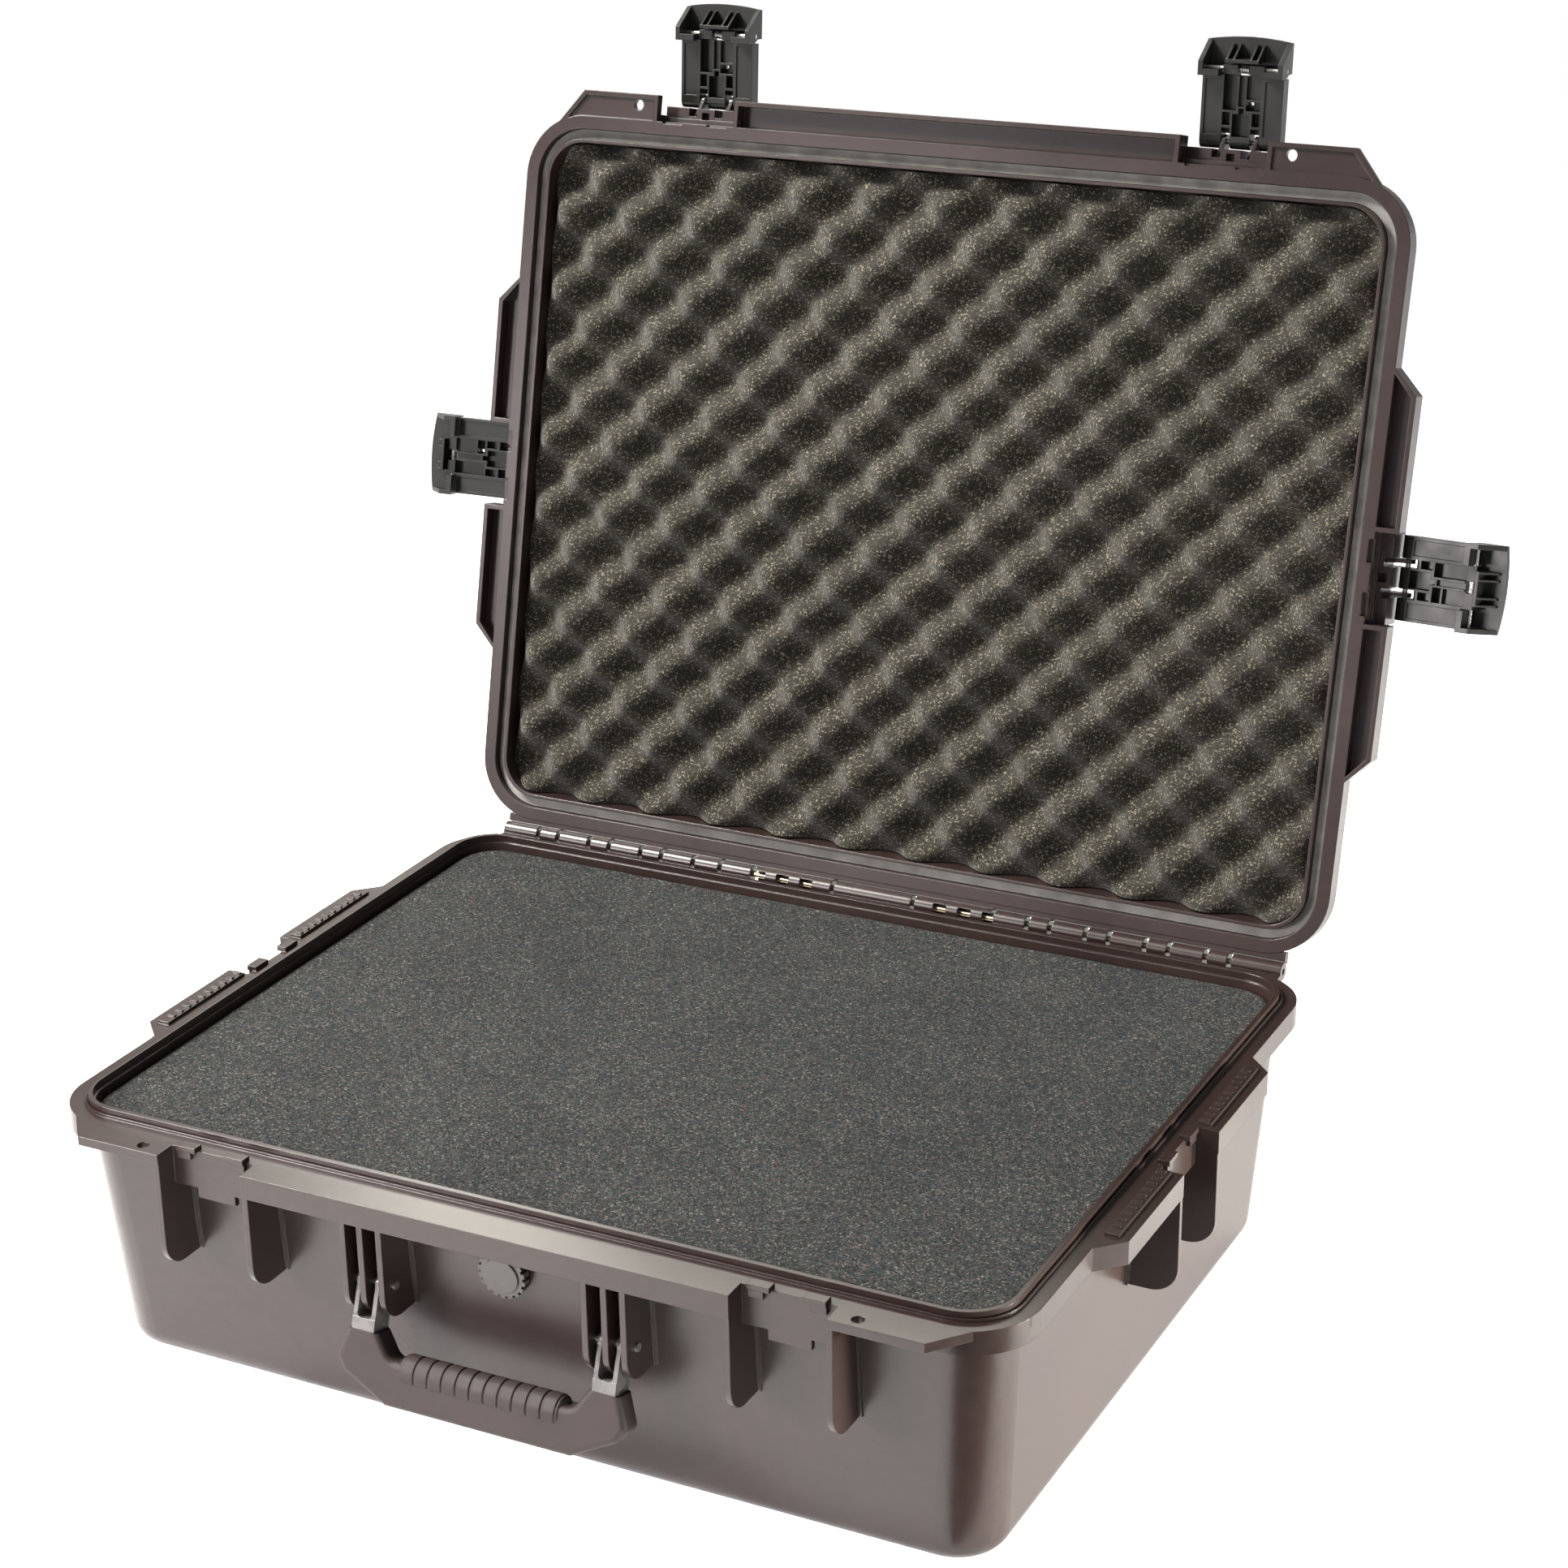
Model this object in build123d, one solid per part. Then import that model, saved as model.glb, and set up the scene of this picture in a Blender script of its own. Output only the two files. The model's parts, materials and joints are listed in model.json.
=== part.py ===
from build123d import *
import os

# Hard equipment case, lid open. Millimetres, +Z up, front of the case towards -Y.
# The origin is the middle of the base's underside. Lid pieces are drawn closed, then swung open.

# ---- overall sizes -------------------------------------------------------------------------
RIM_Z = 155.0            # top of the base's rim flange, where base and lid meet
LID_TOP_Z = 218.0        # outside of the closed lid
RIM_X = 298.0            # half width over the rim flange
X_MINUS_Y = 65.0         # the case is this much longer than deep, measured on half widths
RIM_CORNER = 40.0        # plan corner radius of the rim flange
LEDGE_Y = 249.3          # front ledge face, in front of the centre
LEDGE_X = 312.5          # side ledge face
WALL = 4.0
PARTING_GAP = 0.3        # between the closed lid and the base

# ---- base tub ------------------------------------------------------------------------------
TUB_BOTTOM_X = 277.0
TUB_TOP_X = 287.5
TUB_CORNER = 30.0
TUB_BOTTOM_ROUND = 12.0
DRAFT = (TUB_TOP_X - TUB_BOTTOM_X) / RIM_Z       # how far a wall leans out per millimetre of height

# ---- rim and ledges ------------------------------------------------------------------------
FLANGE_THICK = 4.0
SKIRT_THICK = 3.0
SKIRT_DEPTH = 14.0
TONGUE_X = (284.5, 287.5)                        # raised tongue that presses into the gasket
TONGUE_HIGH = 5.0
GUARD_X = (288.2, 289.3)                         # low bead beside the tongue
GUARD_HIGH = 1.8
HASP_THICK = 5.5
HASP_END_X = 259.3                               # where the front corner chamfer starts
HASP_HOLE = (219.6, -242.3)
HASP_HOLE_R = 3.5
BUMP_LONG = 81.0                                 # straight length of one side ledge
BUMP_CHAMFER = 17.0
RIB_THICK = 3.5
RIB_FOOT_Z = 82.0
RIB_ROUND = 16.0
LID_RIB_ROUND = 9.0
ROOT_WIDE = 1.8                                  # strip along a rib's root
ROOT_PROUD = 1.3

# ---- latch bays ----------------------------------------------------------------------------
BAY = 55.0                                       # width of the gap that a latch folds into
FRONT_BAY_X = 177.5
SIDE_BAY_Y = -2.0
CATCH_BACK = 14.1                                # catch plate's front face, behind the ledge face
CATCH_LOW_Z = 131.5
CATCH_TONGUE_Z = 125.5
TAB_X = (9.5, 22.4)                              # the two catch tabs, off the bay's centre
TAB_FRONT = 10.3
TAB_BACK = 17.0
TAB_HIGH = 3.0
HOOK_X = (13.5, 22.4)                            # hooks under the tabs that hold a latch's lip
HOOK_FRONT = 11.3
HOOK_Z = 149.8

# ---- hinge ---------------------------------------------------------------------------------
HINGE_Y = 242.0
HINGE_Z = 154.5
LID_OPEN = 103.3
KNUCKLE_R = 5.5
HINGE_PIN_R = 2.0
HINGE_HALF = 275.0
KNUCKLE_PITCH = 39.5
KNUCKLE_LONG = 21.0
KNUCKLE_GAP = 3.0
KNUCKLE_CLEAR = 0.6                              # between the lid's hinge edge and a base knuckle
MIDDLE_KNUCKLE_HALF = 27.0
FIRST_WINDOW_X = 47.5                            # small windows in the lid's middle knuckles
WINDOW_PITCH = 17.0
WINDOW_LONG = 9.0
RUNNING_FIT = 0.06                               # radial play of a pin in a moving knuckle

# ---- latch, drawn folded open: u runs out from its hinge, w from its mid plane to the case ----
LATCH_HALF = 25.5
LATCH_INNER_W = 4.4
LATCH_OUTER_W = -4.6
LATCH_END_U = 38.6
LATCH_LEAN = 9.0                                 # an open latch droops this far below the lid's plane
LUG_X = (8.9, 11.4)                              # the two lugs on the lid, off the bay's centre
LUG_ROOM = (6.4, 12.0)                           # slots in latch and shelf that the lugs stand in
SHELF_BACK = 6.1                                 # shelf behind a closed latch, behind the ledge face
SHELF_Z = (RIM_Z + 15.0, RIM_Z + 37.0)
LID_RIB_BACK = 12.0                              # the lid's bay ribs stand behind its ledges
LID_RIB_Z = 198.0
LATCH_AXIS_SET = 1.0                             # hinge axis, behind the ledge face
LATCH_AXIS_Z = RIM_Z + 32.4
LATCH_BARREL_R = 4.2
LATCH_PIN_R = 1.6
TRIGGER_U = 43.2
TRIGGER_W = 0.5
TRIGGER_PIN_R = 1.5
TRIGGER_HALF = 26.5
TRIGGER_CORNER_U = 59.4
TRIGGER_TIP_U = 61.7                             # middle of the bowed free edge
TRIGGER_SHELL_W = (-7.0, -4.6)
LIP_U = 39.3
LIP_W = 11.4
LIP_X = (13.5, 24.0)                             # the two lips, off the latch's centre
NECK_HALF = 12.9                                 # the plate's neck that carries the trigger pin
SIDE_PANEL_X = 14.2                              # where the plate's flat side panels start
SHALLOW_W = 2.2
GUSSET_THICK = 1.3
SPRING_R = 2.9
SPRING_HALF = 3.0

# ---- handle --------------------------------------------------------------------------------
PIVOT_Y = -236.5
PIVOT_Z = 102.0
HANDLE_LEAN = 15.0                               # it leans on the rib feet, off the vertical
HANDLE_RIBS = (63.25, 75.25, 86.5)
HANDLE_PIN_R = 2.5
TINE_THICK = 2.6
FORK_HALF_THICK = 7.5
FORK_Z = (-27.0, -20.0)                          # crossbar of the fork, below its pivot
CORE_Z = (-56.0, -46.0)                          # stiff bar inside the grip
CORE_HALF = 74.0
STEM_FOOT_Z = -51.0                              # where a fork's stem ends in that bar
HANDLE_HALF_THICK = 8.0
ARM_Z = -40.0                                    # where the arms meet the finger bar
GRIP_R = 8.8                                     # round finger bar
GRIP_Z = -45.0
GRIP_HALF = 52.0
FINGER_RIBS = 11
FINGER_RIB_HIGH = 0.7
FINGER_RIB_PITCH = 8.8
FINGER_RIB_LONG = 7.6

# ---- valve and foam ------------------------------------------------------------------------
VALVE_Z = 118.0
VALVE_R = 14.5
VALVE_NOTCHES = 18
FOAM_GAP = 0.7
FOAM_LEVELS = (4.3, 26.0, 89.0, 152.0)
LID_FOAM_FACE_Z = 158.0
LID_OVERHANG = 1.5                               # the lid's wall stands outside the tub's
LID_HOLLOW_SET = 8.0                             # its hollow starts this far inside its wall
GASKET_X = (283.3, 289.4)
GASKET_SEAT = 10.7                               # depth of the gasket's groove


def block(x, y, z):
    """A box given by its two corners along each axis."""
    centre = Pos((x[0] + x[1]) / 2, (y[0] + y[1]) / 2, (z[0] + z[1]) / 2)
    return centre * Box(abs(x[1] - x[0]), abs(y[1] - y[0]), abs(z[1] - z[0]))


def prism(points, z0, z1):
    """An upright prism over a plan outline."""
    return Pos(0, 0, z0) * extrude(make_face(Polyline(*points, close=True)), z1 - z0)


def side_plate(points, x0, x1):
    """A plate across X whose outline is given as (y, z) points."""
    outline = make_face(Polyline(*[(y, z, 0) for y, z in points], close=True))
    plane = Plane(origin=(x0, 0, 0), x_dir=(0, 1, 0), z_dir=(1, 0, 0))
    return plane * extrude(outline, x1 - x0)


def rod(radius, x0, x1, y=0.0, z=0.0):
    """A round rod along X."""
    return Pos((x0 + x1) / 2, y, z) * Rot(Y=90) * Cylinder(radius, x1 - x0)


def rim_slab(half_x, z0, z1):
    """A slab with the case's plan shape, at a given half width."""
    outline = RectangleRounded(2 * half_x, 2 * (half_x - X_MINUS_Y), RIM_CORNER + half_x - RIM_X)
    return Pos(0, 0, z0) * extrude(outline, z1 - z0)


def rim_ring(outer_x, inner_x, z0, z1):
    return rim_slab(outer_x, z0, z1) - rim_slab(inner_x, z0 - 1, z1 + 1)


def tub(x0, z0, x1, z1, corner):
    """A drafted block with the case's plan shape, from half width x0 at z0 to x1 at z1."""
    low = Pos(0, 0, z0) * RectangleRounded(2 * x0, 2 * (x0 - X_MINUS_Y), corner)
    high = Pos(0, 0, z1) * RectangleRounded(2 * x1, 2 * (x1 - X_MINUS_Y), corner)
    return loft([low, high])


def round_end(solid, z, radius):
    """Round the edges that lie in the level z."""
    edges = [e for e in solid.edges() if abs(e.center().Z - z) < 0.01]
    return fillet(edges, radius)


def inner_x(z):
    """Half width of the base's hollow at a height."""
    return TUB_BOTTOM_X + DRAFT * z - WALL


def on_front(shape, side):
    """Place a bay feature, drawn at the origin with the ledge face at y = 0, on the front."""
    return Pos(side * FRONT_BAY_X, -LEDGE_Y, 0) * shape


def on_side(shape, side):
    """Place the same feature on the left (-1) or right (+1) side."""
    return Pos(side * LEDGE_X, SIDE_BAY_Y, 0) * Rot(Z=90 * side) * shape


def in_all_bays(shape):
    return [on_front(shape, -1), on_front(shape, 1), on_side(shape, -1), on_side(shape, 1)]


def mirrored(shape):
    return [shape, mirror(shape, Plane.YZ)]


def bump_outline(inset=0.0):
    """Plan of the rear right side ledge, square at the latch bay and chamfered at its far end."""
    start = SIDE_BAY_Y + BAY / 2 + inset
    corner = SIDE_BAY_Y + BAY / 2 + BUMP_LONG - inset / 2
    outer = LEDGE_X - inset
    root = RIM_X - 2
    return [(root, start), (outer, start), (outer, corner), (root, corner + BUMP_CHAMFER - inset / 2)]


def all_bumps(shape):
    """Copy a rear right side ledge feature to all four side ledges."""
    across_bay = Plane(origin=(0, SIDE_BAY_Y, 0), z_dir=(0, 1, 0))
    pair = [shape, mirror(shape, across_bay)]
    return pair + [mirror(s, Plane.YZ) for s in pair]


def hasp_outline(inset=0.0):
    """Plan of the right front corner ledge that carries the padlock hole."""
    inner = FRONT_BAY_X + BAY / 2
    return [
        (inner + inset, -LEDGE_Y + 20 - inset),
        (inner + inset, -LEDGE_Y + inset),
        (HASP_END_X - inset / 2, -LEDGE_Y + inset),
        (RIM_X - 1.0 - inset, -LEDGE_Y + 46),
        (RIM_X - 28, -LEDGE_Y + 46),
    ]


def front_bar(z0, z1, inset=0.0):
    half = FRONT_BAY_X - BAY / 2 - inset
    return block((-half, half), (-LEDGE_Y + inset, -LEDGE_Y + 20 - inset), (z0, z1))


def rib(front, back, top, foot, rounding):
    """A rib plate in bay coordinates, with its front corner at the foot rounded."""
    plate = block((0, RIB_THICK), (front, back), (min(top, foot), max(top, foot)))
    outer = [e for e in plate.edges().filter_by(Axis.X)
             if abs(e.center().Y - front) < 0.01 and abs(e.center().Z - foot) < 0.01]
    return fillet(outer, rounding)


def bay_ribs(front, top, foot, rounding):
    """The pair of ribs that stand on both sides of a latch bay."""
    plate = rib(front, 32.0, top, foot, rounding)
    return [Pos(BAY / 2, 0, 0) * plate, Pos(-BAY / 2 - RIB_THICK, 0, 0) * plate]


# ---- base ----------------------------------------------------------------------------------
def knuckle_spans():
    """Where the base's hinge knuckles stand along X."""
    right = [85.0 + KNUCKLE_PITCH * n for n in range(4)]
    left = [-109.0] + [-153.0 - KNUCKLE_PITCH * n for n in range(3)]
    spans = [(x, x + KNUCKLE_LONG) for x in right + left]
    spans += [(85.0 + 4 * KNUCKLE_PITCH, HINGE_HALF), (-HINGE_HALF, -250.0)]
    spans.append((-MIDDLE_KNUCKLE_HALF, MIDDLE_KNUCKLE_HALF))
    return sorted(spans)


def lid_knuckle_spans():
    spans = knuckle_spans()
    return [(a[1] + KNUCKLE_GAP, b[0] - KNUCKLE_GAP) for a, b in zip(spans, spans[1:])]


def catch():
    """Catch plate with its two tabs and the hooks under them, in bay coordinates."""
    plate = block((-BAY / 2 - 1, BAY / 2 + 1), (CATCH_BACK, TAB_BACK + 1), (CATCH_LOW_Z, RIM_Z))
    tongue = block((-12.5, 12.5), (CATCH_BACK, TAB_BACK + 0.5), (CATCH_TONGUE_Z, CATCH_LOW_Z + 1))
    tabs = [block((s * TAB_X[0], s * TAB_X[1]), (TAB_FRONT, TAB_BACK), (RIM_Z - 0.2, RIM_Z + TAB_HIGH))
            for s in (-1, 1)]
    hooks = [block((s * HOOK_X[0], s * HOOK_X[1]), (HOOK_FRONT, CATCH_BACK + 0.5), (HOOK_Z, RIM_Z))
             for s in (-1, 1)]
    return plate + tongue + tabs + hooks


def rib_roots():
    """Low strips along the roots of the ribs, where they meet the tub's wall."""
    skin = tub(TUB_BOTTOM_X + ROOT_PROUD, 0, TUB_TOP_X + ROOT_PROUD, RIM_Z, TUB_CORNER + ROOT_PROUD)
    half = RIB_THICK / 2 + ROOT_WIDE
    tall = (RIB_FOOT_Z, RIM_Z - 2)
    off_bay = (BAY + RIB_THICK) / 2
    strips = []
    for x in HANDLE_RIBS + (FRONT_BAY_X - off_bay, FRONT_BAY_X + off_bay):
        strips += mirrored(block((x - half, x + half), (-LEDGE_Y, -TUB_BOTTOM_X + X_MINUS_Y + WALL), tall))
    for y in (SIDE_BAY_Y - off_bay, SIDE_BAY_Y + off_bay):
        strips += mirrored(block((TUB_BOTTOM_X - WALL, LEDGE_X), (y - half, y + half), tall))
    return [skin & strip for strip in strips]


def grip_teeth():
    """Raised strip with a row of small teeth on top of a side ledge."""
    start = SIDE_BAY_Y + BAY / 2 + 3
    strip = block((RIM_X + 0.6, RIM_X + 8.5), (start, start + BUMP_LONG - 3), (RIM_Z - 0.5, RIM_Z + 2.0))
    pitch = (BUMP_LONG - 7) / 10
    tooth = block((RIM_X + 1.4, RIM_X + 6.6), (0, 2.4), (RIM_Z + 1.5, RIM_Z + 3.2))
    return strip + [Pos(0, start + 2 + pitch * n, 0) * tooth for n in range(10)]


def base_shell():
    body = round_end(tub(TUB_BOTTOM_X, 0, TUB_TOP_X, RIM_Z, TUB_CORNER), 0, TUB_BOTTOM_ROUND)
    skirt_z = RIM_Z - SKIRT_DEPTH
    pieces = [
        rim_slab(RIM_X, RIM_Z - FLANGE_THICK, RIM_Z),
        rim_ring(RIM_X, RIM_X - SKIRT_THICK, skirt_z, RIM_Z - 1),
        rim_ring(TONGUE_X[1], TONGUE_X[0], RIM_Z - 1, RIM_Z + TONGUE_HIGH),
        rim_ring(GUARD_X[1], GUARD_X[0], RIM_Z - 1, RIM_Z + GUARD_HIGH),
        front_bar(skirt_z, RIM_Z) - front_bar(skirt_z - 1, RIM_Z - FLANGE_THICK, SKIRT_THICK),
    ]
    pieces += mirrored(prism(hasp_outline(), RIM_Z - HASP_THICK, RIM_Z))
    bump = prism(bump_outline(), skirt_z, RIM_Z)
    bump -= prism(bump_outline(SKIRT_THICK), skirt_z - 1, RIM_Z - FLANGE_THICK)
    pieces += all_bumps(bump + grip_teeth())
    for piece in bay_ribs(0.4, RIM_Z - 1, RIB_FOOT_Z, RIB_ROUND):
        pieces += in_all_bays(piece)
    pieces += in_all_bays(catch())
    handle_rib = rib(2.0, 32.0, RIM_Z - 1, RIB_FOOT_Z, RIB_ROUND)
    for x in HANDLE_RIBS:
        pieces += mirrored(Pos(x - RIB_THICK / 2, -LEDGE_Y, 0) * handle_rib)
    pieces += rib_roots()
    for x0, x1 in knuckle_spans():
        pieces.append(rod(KNUCKLE_R, x0, x1, HINGE_Y, HINGE_Z))
        web_z = (HINGE_Z - KNUCKLE_R, HINGE_Z - 0.5)
        pieces.append(block((x0, x1), (RIM_X - X_MINUS_Y - 2, HINGE_Y), web_z))
    body += pieces
    hollow = tub(inner_x(WALL), WALL, inner_x(RIM_Z + 10), RIM_Z + 10, TUB_CORNER - WALL)
    body -= round_end(hollow, WALL, TUB_BOTTOM_ROUND - WALL)
    body -= rod(HINGE_PIN_R, -HINGE_HALF - 1, HINGE_HALF + 1, HINGE_Y, HINGE_Z)
    body -= rod(HANDLE_PIN_R, -HANDLE_RIBS[2] - 5, HANDLE_RIBS[2] + 5, PIVOT_Y, PIVOT_Z)
    hole = Pos(HASP_HOLE[0], HASP_HOLE[1], RIM_Z) * Cylinder(HASP_HOLE_R, 30)
    body -= mirrored(hole)
    body -= on_wall(Cylinder(6.0, 40))
    return body


def on_wall(shape):
    """Place a valve piece, drawn on the Z axis, on the front wall with +Z pointing outwards."""
    wall_y = -(TUB_BOTTOM_X + DRAFT * VALVE_Z - X_MINUS_Y)
    lean = 90 + Vector(0, 1, DRAFT).get_angle(Vector(0, 1, 0))
    return Pos(0, wall_y, VALVE_Z) * Rot(X=lean) * shape


def foam_layer(z0, z1):
    layer = tub(inner_x(z0) - FOAM_GAP, z0, inner_x(z1) - FOAM_GAP, z1, TUB_CORNER - WALL)
    if z0 < TUB_BOTTOM_ROUND:
        layer = round_end(layer, z0, TUB_BOTTOM_ROUND - WALL)
    return layer


# ---- valve ---------------------------------------------------------------------------------
def valve_body():
    disc = Pos(0, 0, 3.5) * Cylinder(VALVE_R, 5.0)
    notch = Pos(VALVE_R, 0, 3.5) * Box(3.0, 2.0, 6.0)
    disc -= [Rot(Z=360 / VALVE_NOTCHES * n) * notch for n in range(VALVE_NOTCHES)]
    cap = Pos(0, 0, 6.5) * Cylinder(VALVE_R - 4.0, 1.2)
    stem = Pos(0, 0, -4.0) * Cylinder(5.9, 12.0)
    return on_wall(disc + cap + stem - Pos(0, 0, -8) * Cylinder(3.0, 8.0))


def valve_seal():
    return on_wall(Pos(0, 0, 0.5) * (Cylinder(11.0, 1.0) - Cylinder(6.2, 2.0)))


def valve_nut():
    nut = extrude(RegularPolygon(10.0, 6), 4.5) - Cylinder(5.9, 20)
    return on_wall(Pos(0, 0, -WALL - 4.7) * nut)


# ---- lid -----------------------------------------------------------------------------------
def swing_lid(shape):
    """Swing a lid piece from closed to its open stop."""
    axis = Pos(0, HINGE_Y, HINGE_Z)
    return axis * Rot(X=-LID_OPEN) * axis.inverse() * shape


def latch_lugs():
    """Two lugs that carry a latch's hinge pin, in bay coordinates of the closed lid."""
    y, z = LATCH_AXIS_SET, LATCH_AXIS_Z
    foot_z = RIM_Z + 11
    outline = [(27, foot_z), (15.5, foot_z), (6.5, z - 8), (y, z - 3.9), (y, z + 3.9), (27, z + 5.5)]
    lug = side_plate(outline, *LUG_X) + rod(LATCH_BARREL_R, *LUG_X, y, z)
    lug -= rod(LATCH_PIN_R, 0, 20, y, z)
    return lug + mirror(lug, Plane.YZ)


def latch_shelf():
    """The lid's step behind a closed latch, notched beside its lugs, in bay coordinates."""
    shelf = block((-BAY / 2 - 1, BAY / 2 + 1), (SHELF_BACK, 27), SHELF_Z)
    shelf += block((-BAY / 2 - 1, BAY / 2 + 1), (SHELF_BACK + 7, 27), (RIM_Z + 10, SHELF_Z[0] + 1))
    notch = block(LUG_ROOM, (SHELF_BACK - 1, SHELF_BACK + 5), (RIM_Z, RIM_Z + 40))
    pocket = block((-2.6, 2.6), (SHELF_BACK + 2.5, SHELF_BACK + 7.5), (SHELF_Z[0] - 1, SHELF_Z[0] + 5))
    return shelf - mirrored(notch) - pocket


def lid_shell():
    floor_z = RIM_Z + PARTING_GAP
    skirt_z = floor_z + SKIRT_DEPTH - 1
    wall_x = TUB_TOP_X + LID_OVERHANG
    wall = tub(wall_x, skirt_z - 2, wall_x - 5, LID_TOP_Z, TUB_CORNER + 1)
    body = round_end(wall, LID_TOP_Z, TUB_BOTTOM_ROUND)
    pieces = [
        rim_slab(RIM_X - 4.5, floor_z, skirt_z + 1.2),
        rim_slab(RIM_X, floor_z, floor_z + FLANGE_THICK),
        rim_ring(RIM_X, RIM_X - SKIRT_THICK, floor_z + 1, skirt_z),
        front_bar(floor_z, skirt_z + 1) - front_bar(floor_z - 1, skirt_z - 4, SKIRT_THICK),
    ]
    hasp = prism(hasp_outline(), floor_z, floor_z + HASP_THICK)
    hasp -= prism(hasp_outline(SKIRT_THICK), floor_z - 1, floor_z + 1.5)
    pieces += mirrored(hasp)
    bump = prism(bump_outline(), floor_z, skirt_z + 1)
    bump -= prism(bump_outline(SKIRT_THICK), floor_z - 1, skirt_z - 4)
    pieces += all_bumps(bump)
    for piece in bay_ribs(LID_RIB_BACK, floor_z + 3, LID_RIB_Z, LID_RIB_ROUND):
        pieces += in_all_bays(piece)
    pieces += in_all_bays(latch_shelf() + latch_lugs())
    along = (-HINGE_HALF, HINGE_HALF)
    edge = block(along, (RIM_X - X_MINUS_Y - 2, HINGE_Y - 4), (floor_z + 0.2, floor_z + 6))
    pieces.append(edge - rod(KNUCKLE_R + KNUCKLE_CLEAR, *along, HINGE_Y, HINGE_Z))
    for x0, x1 in lid_knuckle_spans():
        knuckle = rod(KNUCKLE_R, x0, x1, HINGE_Y, HINGE_Z)
        web = block((x0, x1), (RIM_X - X_MINUS_Y - 2, HINGE_Y), (floor_z + 0.2, HINGE_Z + KNUCKLE_R))
        pieces.append(knuckle + web)
    body += pieces
    hollow_x = wall_x - LID_HOLLOW_SET
    hollow = tub(hollow_x, floor_z - 1, hollow_x - 4, LID_TOP_Z - WALL, TUB_CORNER - 6)
    body -= round_end(hollow, LID_TOP_Z - WALL, TUB_BOTTOM_ROUND - WALL)
    body -= rim_ring(GASKET_X[1] + 0.3, GASKET_X[0] - 0.3, floor_z - 1, floor_z + GASKET_SEAT)
    notch_z = (RIM_Z, RIM_Z + TAB_HIGH + 0.6)
    notch = block((TAB_X[0] - 0.6, TAB_X[1] + 0.6), (TAB_FRONT - 1, TAB_BACK + 0.6), notch_z)
    for piece in mirrored(notch):
        body -= in_all_bays(piece)
    body -= rod(HINGE_PIN_R + RUNNING_FIT, -HINGE_HALF - 1, HINGE_HALF + 1, HINGE_Y, HINGE_Z)
    window_y = (HINGE_Y - 3.5, HINGE_Y + 9)
    window = block((-WINDOW_LONG / 2, WINDOW_LONG / 2), window_y, (HINGE_Z - 9, HINGE_Z + 1.5))
    for n in range(3):
        body -= mirrored(Pos(FIRST_WINDOW_X + WINDOW_PITCH * n, 0, 0) * window)
    hole = Pos(HASP_HOLE[0], HASP_HOLE[1], RIM_Z) * Cylinder(HASP_HOLE_R, 30)
    body -= mirrored(hole)
    return swing_lid(body)


def lid_gasket():
    seat_z = RIM_Z + PARTING_GAP + GASKET_SEAT
    return swing_lid(rim_ring(GASKET_X[1], GASKET_X[0], RIM_Z + TONGUE_HIGH + 0.6, seat_z))


def lid_foam():
    half = TUB_TOP_X + LID_OVERHANG - LID_HOLLOW_SET - FOAM_GAP
    top = LID_TOP_Z - WALL - 0.4
    foam = tub(half - 0.2, LID_FOAM_FACE_Z, half - 3.9, top, TUB_CORNER - 7)
    return swing_lid(round_end(foam, top, TUB_BOTTOM_ROUND - WALL))


# ---- latches -------------------------------------------------------------------------------
def cell(x, u, floor_w=-1.6):
    """A pocket sunk into a latch's inner face."""
    return block(x, (-u[0], -u[1]), (-LATCH_INNER_W - 1, -floor_w))


def latch_plate():
    wide = LATCH_HALF
    plate = block((-wide, wide), (0, -LATCH_END_U), (-LATCH_INNER_W, -LATCH_OUTER_W))
    neck_end = TRIGGER_U + 2.6
    plate += block((-NECK_HALF, NECK_HALF), (-LATCH_END_U + 1, -neck_end), (-LATCH_INNER_W, 2.1))
    plate += rod(LATCH_BARREL_R, -wide, wide)
    plate -= mirrored(block(LUG_ROOM, (LATCH_BARREL_R + 2, -LATCH_BARREL_R - 0.7), (-8, 8)))
    plate -= mirrored(cell(LUG_ROOM, (-1, 8.6)))
    plate -= mirrored(cell((7.0, 11.8), (10.2, 17.8)))
    end_u = LATCH_END_U + 1.6
    side_u = (4.4, LATCH_END_U - 1.6)
    plate -= [
        cell((-5.4, 5.4), (3.6, 17.0)),
        cell((-1.6, 1.6), (16.0, 20.4)),
        cell((-11.8, -3.4), (19.2, end_u)),
        cell((-2.0, 1.6), (21.6, end_u), SHALLOW_W),
        cell((2.8, 11.8), (19.2, 24.6)),
        cell((2.8, 11.8), (26.0, end_u), 1.6),
        cell((-wide + 2.0, -SIDE_PANEL_X), side_u, 3.6),
        cell((SIDE_PANEL_X, wide - 2.0), side_u, 3.6),
    ]
    plate -= Pos(4.6, -23.0, 0) * Cylinder(1.2, 20)
    plate -= rod(LATCH_PIN_R + RUNNING_FIT, -wide - 1, wide + 1)
    plate -= rod(TRIGGER_PIN_R, -20, 20, -TRIGGER_U, -TRIGGER_W)
    spring_u = (-TRIGGER_U + 3.8, -TRIGGER_U - 4)
    spring_room = block((-3.6, 3.6), spring_u, (-LATCH_INNER_W - 1, 3.0))
    return plate - spring_room


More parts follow.
